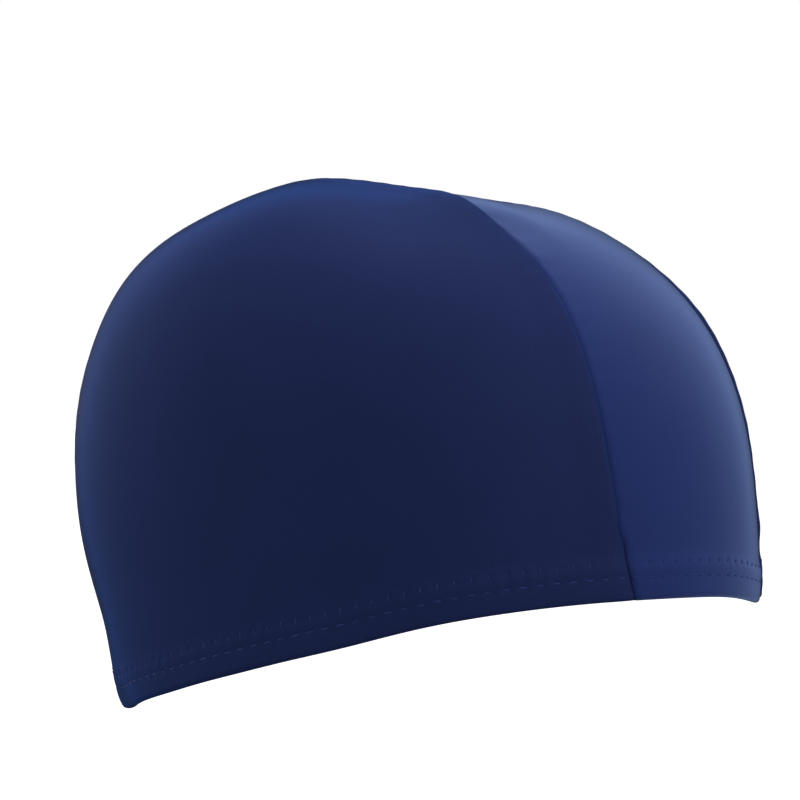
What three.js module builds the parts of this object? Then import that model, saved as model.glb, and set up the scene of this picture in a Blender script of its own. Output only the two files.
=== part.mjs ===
// A three-panel swim cap of stretch knit, in the shape that it has on a head.
// Lengths are in millimetres. +Z is up, -Y is the forehead and -X is the wearer's right.
// The origin is at the centre of the head opening, where the head holds the cap.
import * as THREE from "three";

// The dome's outer face, as reaches from the head's upright axis at each one's widest level.
const FOREHEAD_REACH = 95;
const NAPE_REACH = 94.5;
const HALF_WIDTH = 77.5;
const CROWN_LEVEL = 120;        // top of the dome above the origin
const CROWN_SETBACK = 9;        // how far the crown's top lies behind the axis
const CROWN_SLOPE = 0.023;      // rise of the top levels per millimetre towards the nape

// How full the dome is: the exponent of each upright profile, 2 for an ellipse.
const FOREHEAD_FULLNESS = 2.4;
const NAPE_FULLNESS = 2.05;
const SIDE_FULLNESS = 3.5;
const PLAN_FULLNESS = 2.05;     // the same, for the level sections
// The level at which each profile is widest.
const FOREHEAD_WIDEST = 35;
const NAPE_WIDEST = 38;
const SIDE_WIDEST = 21;

// The hem line, as levels of its folded edge going round from the forehead.
const HEM_AT_FOREHEAD = 18;
const HEM_AT_TEMPLE = 12;
const HEM_BEHIND_EAR = -11;
const HEM_AT_NAPE = -12.5;

// Half the centre panel's width, at the hem, half way up the dome and on the crown.
const CENTRE_HALF_AT_HEM = 28;
const CENTRE_HALF_MIDWAY = 38;
const CENTRE_HALF_ON_CROWN = 22;

// The cloth.
const KNIT_THICKNESS = 1.2;     // one ply
const HEM_PLIES = 2;
const HEM_DEPTH = 11;           // folded edge to the inner ply's upper edge
const HEM_FLARE = 0.7;          // how far the folded edge stands out
const PANEL_GAP = 0.3;          // between two panels at their seam
const SEAM_CLEARANCE = 0.3;     // between the cloth and the allowance inside
const ALLOWANCE_WIDTH = 6;
const ALLOWANCE_THICKNESS = 1.6;

// How finely the faces are divided.
const PANEL_COLUMNS = 34;
const PANEL_ROWS = 20;
const CENTRE_COLUMNS = 8;
const CENTRE_ROWS = 52;
const SEAM_STEPS = 52;

// The point inside the head from which the faces are looked at.
const HEART = new THREE.Vector3(0, CROWN_SETBACK, FOREHEAD_WIDEST / 2);
const SEARCH_REACH = 1.5 * (CROWN_LEVEL + NAPE_REACH);
const SEARCH_STEPS = 44;

/** The share of its widest reach that a profile keeps at a level. */
function profileShare(level, widest, fullness) {
  const away = Math.min(1, Math.abs(level - widest) / (CROWN_LEVEL - widest));
  return Math.pow(1 - Math.pow(away, fullness), 1 / fullness);
}

/** The dome's own level of a point: its height with the crown's slope taken off. */
function levelOf(point) {
  return point.z / (1 + (CROWN_SLOPE * point.y) / CROWN_LEVEL);
}

/** How far back the level section's centre lies. */
function setbackAt(level) {
  const share = Math.min(1, Math.max(0, level / CROWN_LEVEL));
  return CROWN_SETBACK * Math.pow(share, 1.5);
}

/** Below zero inside the dome's outer face, zero on it, above zero outside. */
function outsideness(point) {
  const level = levelOf(point);
  if (level >= CROWN_LEVEL) {
    return 1;
  }
  const along = point.y - setbackAt(level);
  const reach = along < 0
    ? FOREHEAD_REACH * profileShare(level, FOREHEAD_WIDEST, FOREHEAD_FULLNESS)
    : NAPE_REACH * profileShare(level, NAPE_WIDEST, NAPE_FULLNESS);
  const width = HALF_WIDTH * profileShare(level, SIDE_WIDEST, SIDE_FULLNESS);
  const lengthwise = Math.pow(Math.abs(along) / reach, PLAN_FULLNESS);
  const sideways = Math.pow(Math.abs(point.x) / width, PLAN_FULLNESS);
  return lengthwise + sideways - 1;
}

/** The value between low and high at which a rising function of it passes zero. */
function whereZero(low, high, rising) {
  let below = low;
  let above = high;
  for (let step = 0; step < SEARCH_STEPS; step += 1) {
    const middle = (below + above) / 2;
    if (rising(middle) < 0) {
      below = middle;
    } else {
      above = middle;
    }
  }
  return (below + above) / 2;
}

/** The dome's point seen from the heart through another point. */
function throughOntoDome(aim) {
  const direction = aim.clone().sub(HEART).normalize();
  const at = (reach) => HEART.clone().addScaledVector(direction, reach);
  return at(whereZero(0, SEARCH_REACH, (reach) => outsideness(at(reach))));
}

/** The way out of the cloth at a point of the dome. */
function outwardAt(point) {
  const step = 0.05;
  const slope = ["x", "y", "z"].map((axis) => {
    const ahead = point.clone();
    const behind = point.clone();
    ahead[axis] += step;
    behind[axis] -= step;
    return outsideness(ahead) - outsideness(behind);
  });
  return new THREE.Vector3(...slope).normalize();
}

/** The hem line's level at a compass angle: 0 at the forehead, half a turn at the nape. */
function hemLevel(compass) {
  const forehead = HEM_AT_FOREHEAD;
  const nape = HEM_AT_NAPE;
  // The sides swing between the temple's level at 60 degrees and the ear's at 120.
  const evenPart = (HEM_AT_TEMPLE + HEM_BEHIND_EAR) / 2;
  const oddPart = HEM_AT_TEMPLE - HEM_BEHIND_EAR;
  const mean = (forehead + nape) / 2;
  const swing = (2 * (mean - evenPart)) / 3;
  const third = (forehead - nape) / 6 - oddPart / 3;
  const first = (forehead - nape) / 2 - third;
  return mean - swing + first * Math.cos(compass) + swing * Math.cos(2 * compass)
    + third * Math.cos(3 * compass);
}

/** The compass angle of a point, the same on both sides of the head. */
function compassOf(point) {
  return Math.atan2(Math.abs(point.x), -point.y);
}

/** How far a point lies above the hem line, measured upright. */
function riseOf(point) {
  return point.z - hemLevel(compassOf(point));
}

/** Half the centre panel's width at a level: three named widths joined by one smooth curve. */
function centreHalfAt(level) {
  const share = Math.min(1, Math.max(0, level / CROWN_LEVEL));
  return CENTRE_HALF_AT_HEM * (1 - share) * (1 - 2 * share)
    + CENTRE_HALF_MIDWAY * 4 * share * (1 - share)
    + CENTRE_HALF_ON_CROWN * share * (2 * share - 1);
}

/**
 * The dome's point on an arch that runs from the forehead over the crown to the nape.
 * `across` is 0 on the middle line and 1 on the seam, `shift` moves it sideways in millimetres
 * and `swing` is the angle round the heart: 0 level at the forehead, a quarter turn straight up.
 */
function onArch(across, shift, swing) {
  const at = (reach) => {
    const point = HEART.clone();
    point.y -= reach * Math.cos(swing);
    point.z += reach * Math.sin(swing);
    point.x = across * centreHalfAt(levelOf(point)) + shift;
    return point;
  };
  return at(whereZero(0, SEARCH_REACH, (reach) => outsideness(at(reach))));
}

/** The swing at which an arch is a given rise above the hem, at the forehead or at the nape. */
function swingAtRise(across, shift, rise, atNape) {
  const lowest = -Math.PI / 3;
  const highest = Math.PI / 3;
  const turned = (swing) => (atNape ? Math.PI - swing : swing);
  const angle = whereZero(lowest, highest, (swing) => {
    return riseOf(onArch(across, shift, turned(swing))) - rise;
  });
  return turned(angle);
}

/** The dome's point a given rise above the hem, at a compass angle on one side of the head. */
function onHemLine(side, compass, rise) {
  const level = hemLevel(compass) + rise;
  const at = (reach) => {
    return new THREE.Vector3(side * reach * Math.sin(compass), -reach * Math.cos(compass), level);
  };
  return at(whereZero(0, SEARCH_REACH, (reach) => outsideness(at(reach))));
}

/** How far the outer face stands out at a rise above the folded edge. */
function flareAt(rise) {
  const share = Math.max(0, 1 - rise / HEM_DEPTH);
  return HEM_FLARE * share * share;
}

const HEM_THICKNESS = HEM_PLIES * KNIT_THICKNESS;
const FOLD_ROUNDING = HEM_THICKNESS / 2;

// The rows of a hem from its folded edge up: how far each lies above the edge, and how deep
// the cloth's outer and inner faces lie there. The first row is the fold's nose.
const HEM_ROWS = [
  { rise: 0, outerDepth: 0.35 * HEM_THICKNESS, innerDepth: 0.65 * HEM_THICKNESS },
  { rise: FOLD_ROUNDING, outerDepth: 0, innerDepth: HEM_THICKNESS },
  { rise: HEM_DEPTH / 2, outerDepth: 0, innerDepth: HEM_THICKNESS },
  { rise: HEM_DEPTH - FOLD_ROUNDING, outerDepth: 0, innerDepth: HEM_THICKNESS },
  { rise: HEM_DEPTH, outerDepth: 0, innerDepth: KNIT_THICKNESS },
];

/** Turns a grid of rows of { point, outerDepth, innerDepth } into one closed cloth wall. */
function wallFromGrid(rows, facing) {
  const positions = [];
  const index = [];
  const columns = rows[0].length;
  const place = (cell, depth) => {
    const outward = outwardAt(cell.point);
    const lift = flareAt(riseOf(cell.point)) - depth;
    const spot = cell.point.clone().addScaledVector(outward, lift);
    positions.push(spot.x, spot.y, spot.z);
  };
  rows.forEach((row) => row.forEach((cell) => place(cell, cell.outerDepth)));
  rows.forEach((row) => row.forEach((cell) => place(cell, cell.innerDepth)));
  const innerStart = rows.length * columns;
  const quad = (a, b, c, d) => {
    if (facing > 0) {
      index.push(a, b, c, a, c, d);
    } else {
      index.push(a, c, b, a, d, c);
    }
  };
  for (let r = 0; r + 1 < rows.length; r += 1) {
    for (let c = 0; c + 1 < columns; c += 1) {
      const low = r * columns + c;
      const high = low + columns;
      quad(low, low + 1, high + 1, high);
      quad(innerStart + low + 1, innerStart + low, innerStart + high, innerStart + high + 1);
    }
  }
  const border = borderOf(rows.length, columns);
  border.forEach((here, n) => {
    const next = border[(n + 1) % border.length];
    quad(here, innerStart + here, innerStart + next, next);
  });
  return closedGeometry(positions, index);
}

/** The grid's outermost cells, going once round. */
function borderOf(rowCount, columnCount) {
  const cells = [];
  for (let c = 0; c + 1 < columnCount; c += 1) {
    cells.push(c);
  }
  for (let r = 0; r + 1 < rowCount; r += 1) {
    cells.push(r * columnCount + columnCount - 1);
  }
  for (let c = columnCount - 1; c > 0; c -= 1) {
    cells.push((rowCount - 1) * columnCount + c);
  }
  for (let r = rowCount - 1; r > 0; r -= 1) {
    cells.push(r * columnCount);
  }
  return cells;
}

/** A geometry of the given corners and triangles. */
function closedGeometry(positions, index) {
  const geometry = new THREE.BufferGeometry();
  geometry.setAttribute("position", new THREE.Float32BufferAttribute(positions, 3));
  geometry.setIndex(index);
  geometry.computeVertexNormals();
  return geometry;
}

/** A row of a side panel's hem: points from the front seam round to the back seam. */
function sideHemRow(side, hemRow, frontCompass, backCompass) {
  const row = [];
  for (let c = 0; c <= PANEL_COLUMNS; c += 1) {
    const compass = THREE.MathUtils.lerp(frontCompass, backCompass, c / PANEL_COLUMNS);
    row.push({ ...hemRow, point: onHemLine(side, compass, hemRow.rise) });
  }
  return row;
}

/** A side panel: its hem rows, then a grid stretched between the hem and the seam's arch. */
function sidePanelGeometry(side) {
  const shift = side * (PANEL_GAP / 2);
  const seamPoint = (swing) => onArch(side, shift, swing);
  const rows = HEM_ROWS.map((hemRow) => {
    const front = seamPoint(swingAtRise(side, shift, hemRow.rise, false));
    const back = seamPoint(swingAtRise(side, shift, hemRow.rise, true));
    return sideHemRow(side, hemRow, compassOf(front), compassOf(back));
  });
  const base = rows[rows.length - 1].map((cell) => cell.point);
  const frontSwing = swingAtRise(side, shift, HEM_DEPTH, false);
  const backSwing = swingAtRise(side, shift, HEM_DEPTH, true);
  // The arch's two legs are the grid's upright sides, and the stretch between them is its top.
  const legShare = 0.3;
  const swingFor = (share) => THREE.MathUtils.lerp(frontSwing, backSwing, share);
  const frontTop = seamPoint(swingFor(legShare));
  const backTop = seamPoint(swingFor(1 - legShare));
  for (let r = 1; r <= PANEL_ROWS; r += 1) {
    const up = r / PANEL_ROWS;
    const left = seamPoint(swingFor(legShare * up));
    const right = seamPoint(swingFor(1 - legShare * up));
    const row = [];
    for (let c = 0; c <= PANEL_COLUMNS; c += 1) {
      const over = c / PANEL_COLUMNS;
      const top = seamPoint(swingFor(THREE.MathUtils.lerp(legShare, 1 - legShare, over)));
      const aim = new THREE.Vector3()
        .addScaledVector(base[c], 1 - up)
        .addScaledVector(top, up)
        .addScaledVector(left, 1 - over)
        .addScaledVector(right, over)
        .addScaledVector(base[0], -(1 - over) * (1 - up))
        .addScaledVector(base[PANEL_COLUMNS], -over * (1 - up))
        .addScaledVector(frontTop, -(1 - over) * up)
        .addScaledVector(backTop, -over * up);
      row.push({ point: throughOntoDome(aim), outerDepth: 0, innerDepth: KNIT_THICKNESS });
    }
    rows.push(row);
  }
  return wallFromGrid(rows, side);
}

/** The centre panel: rows across, from the forehead's hem over the crown to the nape's. */
function centrePanelGeometry() {
  const columns = [];
  for (let c = 0; c <= CENTRE_COLUMNS; c += 1) {
    const across = (2 * c) / CENTRE_COLUMNS - 1;
    const shift = -across * (PANEL_GAP / 2);
    const hemCells = (atNape) => HEM_ROWS.map((hemRow) => {
      const swing = swingAtRise(across, shift, hemRow.rise, atNape);
      return { ...hemRow, point: onArch(across, shift, swing) };
    });
    const frontSwing = swingAtRise(across, shift, HEM_DEPTH, false);
    const backSwing = swingAtRise(across, shift, HEM_DEPTH, true);
    const between = [];
    for (let r = 1; r < CENTRE_ROWS; r += 1) {
      const swing = THREE.MathUtils.lerp(frontSwing, backSwing, r / CENTRE_ROWS);
      between.push({
        point: onArch(across, shift, swing), outerDepth: 0, innerDepth: KNIT_THICKNESS,
      });
    }
    columns.push([...hemCells(false), ...between, ...hemCells(true).reverse()]);
  }
  const rows = columns[0].map((cell, r) => columns.map((column) => column[r]));
  return wallFromGrid(rows, 1);
}

/** The overlocked allowance inside a seam: a flat bar that follows the seam's arch. */
function allowanceGeometry(side) {
  const outerDepth = KNIT_THICKNESS + SEAM_CLEARANCE;
  const innerDepth = outerDepth + ALLOWANCE_THICKNESS;
  const rows = [];
  const clearRise = HEM_DEPTH + SEAM_CLEARANCE;
  [-1, -0.4, 0.4, 1].forEach((edge) => {
    const shift = (edge * ALLOWANCE_WIDTH) / 2;
    const frontSwing = swingAtRise(side, shift, clearRise, false);
    const backSwing = swingAtRise(side, shift, clearRise, true);
    const row = [];
    for (let step = 0; step <= SEAM_STEPS; step += 1) {
      const swing = THREE.MathUtils.lerp(frontSwing, backSwing, step / SEAM_STEPS);
      const thinning = Math.abs(edge) === 1 ? ALLOWANCE_THICKNESS / 4 : 0;
      row.push({
        point: onArch(side, shift, swing), outerDepth, innerDepth: innerDepth - thinning,
      });
    }
    rows.push(row);
  });
  return wallFromGrid(rows, -1);
}

/** Fine polyester and elastane knit with a soft sheen. */
function knit(colour) {
  return new THREE.MeshStandardMaterial({ color: colour, roughness: 0.62, metalness: 0 });
}

/** Overlocked thread and cut edges. */
function overlockedEdge() {
  return new THREE.MeshStandardMaterial({ color: "#232d52", roughness: 0.85, metalness: 0 });
}

const cap = new THREE.Group();
cap.name = "swim_cap";

function addPiece(name, geometry, material) {
  const mesh = new THREE.Mesh(geometry, material);
  mesh.name = name;
  cap.add(mesh);
}

addPiece("side_panel_right", sidePanelGeometry(-1), knit("#1d264b"));
addPiece("side_panel_left", sidePanelGeometry(1), knit("#1d264b"));
addPiece("centre_panel", centrePanelGeometry(), knit("#3a4b80"));
addPiece("seam_right", allowanceGeometry(-1), overlockedEdge());
addPiece("seam_left", allowanceGeometry(1), overlockedEdge());

export default cap;
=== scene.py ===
# %% [markdown]
# # A three-panel swim cap of stretch knit
# The cap is three pieces of thin polyester and elastane knit: a navy panel over each side of
# the head and a lighter blue one from the forehead over the crown to the nape. Their bottom
# edges are folded up inside and held by two rows of coverstitch, and the joins are overlocked
# inside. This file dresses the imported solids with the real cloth, fold, seams and threads.
# All lengths in the working are millimetres. A mesh gets its points in metres.

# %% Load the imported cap
import math

import bmesh
import bpy
import numpy as np
from mathutils import Matrix, Vector, kdtree


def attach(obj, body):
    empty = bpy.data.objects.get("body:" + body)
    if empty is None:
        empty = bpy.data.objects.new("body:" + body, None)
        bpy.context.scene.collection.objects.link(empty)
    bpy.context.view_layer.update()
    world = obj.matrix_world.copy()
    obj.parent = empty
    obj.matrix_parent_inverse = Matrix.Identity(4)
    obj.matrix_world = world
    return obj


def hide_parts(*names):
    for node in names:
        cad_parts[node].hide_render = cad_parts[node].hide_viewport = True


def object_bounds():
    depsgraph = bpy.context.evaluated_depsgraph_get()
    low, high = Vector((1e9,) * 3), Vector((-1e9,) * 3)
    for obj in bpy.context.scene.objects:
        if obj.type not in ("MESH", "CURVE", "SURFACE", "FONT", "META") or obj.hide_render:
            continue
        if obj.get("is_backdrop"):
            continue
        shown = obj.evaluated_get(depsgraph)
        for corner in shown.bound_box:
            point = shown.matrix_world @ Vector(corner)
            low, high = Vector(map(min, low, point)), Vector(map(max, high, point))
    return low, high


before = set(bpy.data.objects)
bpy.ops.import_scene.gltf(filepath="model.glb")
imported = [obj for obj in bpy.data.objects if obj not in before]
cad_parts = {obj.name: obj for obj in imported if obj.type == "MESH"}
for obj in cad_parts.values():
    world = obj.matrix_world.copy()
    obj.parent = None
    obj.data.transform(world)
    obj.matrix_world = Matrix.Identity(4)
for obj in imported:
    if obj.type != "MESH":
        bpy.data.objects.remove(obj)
cad_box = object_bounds()
MM = 0.001
print("packed nodes:", sorted(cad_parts))

# %% [markdown]
# ## The camera
# The cap is seen from the wearer's right and a little from the front, almost level with the
# hem. The camera comes first, so that each later step can be looked at in the right frame.
# It looks at a point above the head opening from 0.6 m, because the near seam climbs over the
# crown's edge there: a camera further off would show more of the crown.

# %% Camera
CAMERA_TURN = math.radians(33.2)       # from straight at the right side towards the forehead
CAMERA_RISE = math.radians(2.4)
CAMERA_DISTANCE = 600.0
AIM = Vector((0.5, 4.0, 62.7))
SENSOR = 36.0
FOCAL_PIXELS = 2237.0
IMAGE_PIXELS = 800.0


def add_camera():
    towards = Vector((
        -math.cos(CAMERA_TURN) * math.cos(CAMERA_RISE),
        -math.sin(CAMERA_TURN) * math.cos(CAMERA_RISE),
        math.sin(CAMERA_RISE),
    ))
    lens = bpy.data.cameras.new("camera")
    lens.sensor_width = SENSOR
    lens.lens = FOCAL_PIXELS / IMAGE_PIXELS * SENSOR
    lens.clip_start = 0.01
    lens.clip_end = 100.0
    camera = bpy.data.objects.new("camera", lens)
    bpy.context.scene.collection.objects.link(camera)
    camera.location = (AIM + towards * CAMERA_DISTANCE) * MM
    camera.rotation_euler = towards.to_track_quat("Z", "Y").to_euler()
    bpy.context.scene.camera = camera
    return camera


camera = add_camera()
print("camera at", [round(x, 4) for x in camera.location], "lens", round(camera.data.lens, 1))

# %% [markdown]
# ## The dome
# A knit cap has no shape of its own: it takes the head's. The head's form is one smooth dome,
# given by how far it reaches forwards, backwards and sideways at each level. It could be
# sculpted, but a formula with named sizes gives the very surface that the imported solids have,
# and every piece, seam and stitch can then be laid on it.

# %% The dome's sizes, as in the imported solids
FOREHEAD_REACH = 95.0
NAPE_REACH = 94.5
HALF_WIDTH = 77.5
CROWN_LEVEL = 120.0
CROWN_SETBACK = 9.0
CROWN_SLOPE = 0.023
FOREHEAD_FULLNESS = 2.4
NAPE_FULLNESS = 2.05
SIDE_FULLNESS = 3.5
PLAN_FULLNESS = 2.05
FOREHEAD_WIDEST = 35.0
NAPE_WIDEST = 38.0
SIDE_WIDEST = 21.0
HEM_AT_FOREHEAD = 18.0
HEM_AT_TEMPLE = 12.0
HEM_BEHIND_EAR = -11.0
HEM_AT_NAPE = -12.5
CENTRE_HALF_AT_HEM = 28.0
CENTRE_HALF_MIDWAY = 38.0
CENTRE_HALF_ON_CROWN = 22.0
HEART = np.array([0.0, CROWN_SETBACK, FOREHEAD_WIDEST / 2])
SEARCH_REACH = 1.5 * (CROWN_LEVEL + NAPE_REACH)
SEARCH_STEPS = 34


def profile_share(level, widest, fullness):
    """The share of its widest reach that a profile keeps at each level."""
    away = np.minimum(1.0, np.abs(level - widest) / (CROWN_LEVEL - widest))
    return np.maximum(1.0 - away ** fullness, 1e-9) ** (1.0 / fullness)


def level_of(points):
    """The height of each point with the crown's slope taken off."""
    return points[:, 2] / (1.0 + CROWN_SLOPE * points[:, 1] / CROWN_LEVEL)


def outsideness(points):
    """Below zero inside the head's form, zero on it, above zero outside."""
    level = level_of(points)
    share = np.clip(level / CROWN_LEVEL, 0.0, 1.0)
    along = points[:, 1] - CROWN_SETBACK * share ** 1.5
    forehead = FOREHEAD_REACH * profile_share(level, FOREHEAD_WIDEST, FOREHEAD_FULLNESS)
    nape = NAPE_REACH * profile_share(level, NAPE_WIDEST, NAPE_FULLNESS)
    reach = np.where(along < 0.0, forehead, nape)
    width = HALF_WIDTH * profile_share(level, SIDE_WIDEST, SIDE_FULLNESS)
    lengthwise = (np.abs(along) / reach) ** PLAN_FULLNESS
    sideways = (np.abs(points[:, 0]) / width) ** PLAN_FULLNESS
    return np.where(level >= CROWN_LEVEL, 1.0, lengthwise + sideways - 1.0)


def where_zero(low, high, rising):
    """For each entry, the value between low and high at which a rising function is zero."""
    low, high = np.array(low, float), np.array(high, float)
    for _ in range(SEARCH_STEPS):
        middle = (low + high) / 2.0
        below = rising(middle) < 0.0
        low, high = np.where(below, middle, low), np.where(below, high, middle)
    return (low + high) / 2.0


def along_rays(at, count):
    """The dome's points on a number of rays. at gives each ray's point at a reach."""
    low, high = np.zeros(count), np.full(count, SEARCH_REACH)
    return at(where_zero(low, high, lambda reach: outsideness(at(reach))))


def unit(ways):
    return ways / np.linalg.norm(ways, axis=1, keepdims=True)


def through_onto_dome(aims):
    """The dome's points seen from the heart through other points."""
    ways = unit(aims - HEART)
    return along_rays(lambda reach: HEART + ways * reach[:, None], len(aims))


def alike(*values):
    """Numbers and arrays as arrays of one length."""
    return np.broadcast_arrays(*(np.asarray(value, float) for value in values))


top = through_onto_dome(np.array([[0.0, CROWN_SETBACK, CROWN_LEVEL]]))[0]
print("crown at", np.round(top, 1), "mm")

# %% [markdown]
# The way out of the cloth is the way in which outsideness grows fastest, measured over a small
# step. Round its very top the dome is too flat for that, so there the way out blends into the
# straight way up. Without this, the cloth would crumple at that one spot.

# %% The way out of the cloth
SLOPE_STEP = 0.05
FLAT_TOP = (3.0, 9.0)          # mm from the top: straight up to the first, measured past the second


def smooth_step(low, high, value):
    share = np.clip((value - low) / (high - low), 0.0, 1.0)
    return share * share * (3.0 - 2.0 * share)


def outward_at(points):
    """The way out of the cloth at points of the dome."""
    slopes = []
    for axis in range(3):
        shift = np.zeros(3)
        shift[axis] = SLOPE_STEP
        slopes.append(outsideness(points + shift) - outsideness(points - shift))
    from_top = np.linalg.norm(points - top, axis=1)
    share = smooth_step(*FLAT_TOP, from_top)[:, None]
    upright = np.array([0.0, -CROWN_SLOPE, 1.0])
    return unit(unit(np.stack(slopes, axis=1)) * share + upright * (1.0 - share))


print("at the top the way out is", np.round(outward_at(top[None])[0], 2))

# %% [markdown]
# ## The hem line and the seams' arches
# The hem's folded edge is high at the forehead and low behind the ears and at the nape. Four
# named levels, joined by one smooth wave, give it all the way round, and a few small sags are
# how it hangs as worn. The two seams are arches from the forehead over the crown to the nape:
# the centre panel is cut narrow at both hems, wide on the forehead and narrow on the crown.
# Just above the hem at the forehead each seam has a small kink, where the stiffer hem begins.

# %% Hem line and arches
SAGS = (
    # compass (degrees), width (degrees), depth (mm)
    (19.0, 12.0, 6.0),         # the left seam's bulk draws the hem down
    (-28.0, 14.0, -1.1),       # drawn up at the right temple
    (-69.0, 9.0, 0.95),        # above the right ear
    (-99.0, 7.0, -0.45),       # drawn up over that ear
    (-136.0, 11.0, 3.9),       # behind the right ear
    (114.0, 15.0, -2.2),       # drawn up behind the left ear
)


def hem_level(compass):
    """The folded edge's level: compass 0 is the forehead, half a turn the nape, left is plus."""
    even_part = (HEM_AT_TEMPLE + HEM_BEHIND_EAR) / 2.0
    odd_part = HEM_AT_TEMPLE - HEM_BEHIND_EAR
    mean = (HEM_AT_FOREHEAD + HEM_AT_NAPE) / 2.0
    swing = 2.0 * (mean - even_part) / 3.0
    third = (HEM_AT_FOREHEAD - HEM_AT_NAPE) / 6.0 - odd_part / 3.0
    first = (HEM_AT_FOREHEAD - HEM_AT_NAPE) / 2.0 - third
    level = (mean - swing + first * np.cos(compass) + swing * np.cos(2.0 * compass)
             + third * np.cos(3.0 * compass))
    for centre, width, depth in SAGS:
        away = np.cos(compass - math.radians(centre)) - 1.0
        level = level - depth * np.exp(away / math.radians(width) ** 2)
    return level


def compass_of(points):
    return np.arctan2(points[:, 0], -points[:, 1])


def rise_of(points):
    """How far points lie above the folded edge."""
    return points[:, 2] - hem_level(compass_of(points))


KINK_LEVEL = 34.5              # just above the hem at the forehead, whose plies hold it stiff
KINK_REACH = 2.3
KINK_SHIFT = 0.45


def centre_half_at(points):
    """Half the centre panel's width at points' levels, with the seam's kink at the forehead."""
    level = level_of(points)
    share = np.clip(level / CROWN_LEVEL, 0.0, 1.0)
    kink = (level - KINK_LEVEL) / KINK_REACH
    kinked = np.where(points[:, 1] < 0.0, KINK_SHIFT * kink * np.exp(0.5 - kink ** 2 / 2.0), 0.0)
    return (CENTRE_HALF_AT_HEM * (1 - share) * (1 - 2 * share)
            + CENTRE_HALF_MIDWAY * 4 * share * (1 - share)
            + CENTRE_HALF_ON_CROWN * share * (2 * share - 1) + kinked)


def on_arch(across, shift, swing):
    """Points on arches over the head: across 0 is the middle line, 1 and -1 the seams."""
    across, shift, swing = alike(across, shift, swing)

    def at(reach):
        y = HEART[1] - reach * np.cos(swing)
        z = HEART[2] + reach * np.sin(swing)
        flat = np.stack([np.zeros_like(y), y, z], axis=1)
        x = across * centre_half_at(flat) + shift
        return np.stack([x, y, z], axis=1)

    return along_rays(at, len(swing))


def swing_at_rise(across, shift, rise, at_nape):
    """The swing at which an arch is a given rise above the hem, at the forehead or the nape."""
    across, shift, rise = alike(across, shift, rise)

    def turned(swing):
        return math.pi - swing if at_nape else swing

    limit = np.full(len(across), math.pi / 3.0)
    found = where_zero(-limit, limit, lambda s: rise_of(on_arch(across, shift, turned(s))) - rise)
    return turned(found)


def seam_ends(side, rise, shift=0.0):
    """The swings at which a seam is a rise above the hem, at the forehead and at the nape."""
    return [swing_at_rise([side], [shift], [rise], nape)[0] for nape in (False, True)]


def on_hem_line(compass, rise):
    """Points a given rise above the folded edge."""
    compass, rise = alike(compass, rise)
    level = hem_level(compass) + rise

    def at(reach):
        return np.stack([reach * np.sin(compass), -reach * np.cos(compass), level], axis=1)

    return along_rays(at, len(compass))


hem_compasses = np.linspace(-math.pi, math.pi, 1441)
hem_steps = np.linalg.norm(np.diff(on_hem_line(hem_compasses, 0.0), axis=0), axis=1)
hem_along = np.concatenate([[0.0], np.cumsum(hem_steps)])
hem_length = hem_along[-1]
print("hem is", round(hem_length), "mm round")

# %% [markdown]
# ## How the cloth lies as worn
# Stretched cloth isn't quite the bare dome. The seams hold it up over the crown, the centre
# panel between them is pulled flat, and the hem stands off a little where it has room. Each
# line below is one such place: a soft swelling or hollow of up to about three millimetres.

# %% Swellings and hollows
WORN = (
    # x, y, z on the dome, how wide, how far out (all mm)
    (-26.0, 13.0, 119.0, 12.0, 1.1),       # the crown's peak under the right seam
    (-25.0, -31.0, 113.0, 8.0, 2.1),       # the right seam's crest, on to the forehead
    (-23.0, -14.0, 118.0, 8.0, 0.8),
    (5.0, -12.0, 119.0, 11.0, -3.1),       # the centre panel is pulled flat beyond it
    (23.0, -8.0, 118.0, 11.0, -0.9),
    (-52.0, 2.0, 112.0, 9.0, 1.0),         # a soft edge runs down from the crown
    (-47.0, -26.0, 108.0, 9.0, -1.0),      # with a hollow before it
    (-31.0, -12.0, 117.0, 6.0, -0.8),      # and another beside the seam
    (-38.0, 36.0, 112.0, 12.0, -0.7),      # hollow behind the peak
    (-45.0, 60.0, 95.0, 12.0, 0.6),        # full over the back of the head
    (30.0, -69.0, 86.0, 15.0, 0.7),        # full over the left of the forehead
    (-51.0, 67.0, 8.0, 12.0, -1.6),        # drawn in above the hem behind the ear
    (-54.0, 59.0, -13.0, 7.0, 1.1),        # the hem's corner stands off there
    (-46.5, 58.5, -18.0, 5.5, 2.4),
    (30.0, -87.0, 14.0, 10.0, 0.8),        # and at the left temple
    (36.0, -82.0, 43.0, 9.0, -0.5),
    (-38.0, 82.0, 34.0, 16.0, -0.5),       # flat at the nape
)


def worn_lift(points):
    lift = np.zeros(len(points))
    for x, y, z, width, height in WORN:
        away = np.linalg.norm(points - np.array([x, y, z]), axis=1)
        lift += height * np.exp(-(away / width) ** 2 / 2.0)
    return lift


print("the cloth leaves the dome by up to", max(abs(row[-1]) for row in WORN), "mm")

# %% [markdown]
# ## Fold, seams and stitch rows
# Close up, the cloth has its own relief. At the hem it turns under in a round fold and comes
# up inside as a second ply. At a seam it rolls inwards over the allowance, so that two panels
# meet in a shallow valley with small puckers. Beside the left seam and behind the right one's
# crest, the centre panel lies lower than the side panel. Each stitch row draws a fine groove.
# All of these are depths below the dome's face, added along the way out of the cloth.

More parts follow.
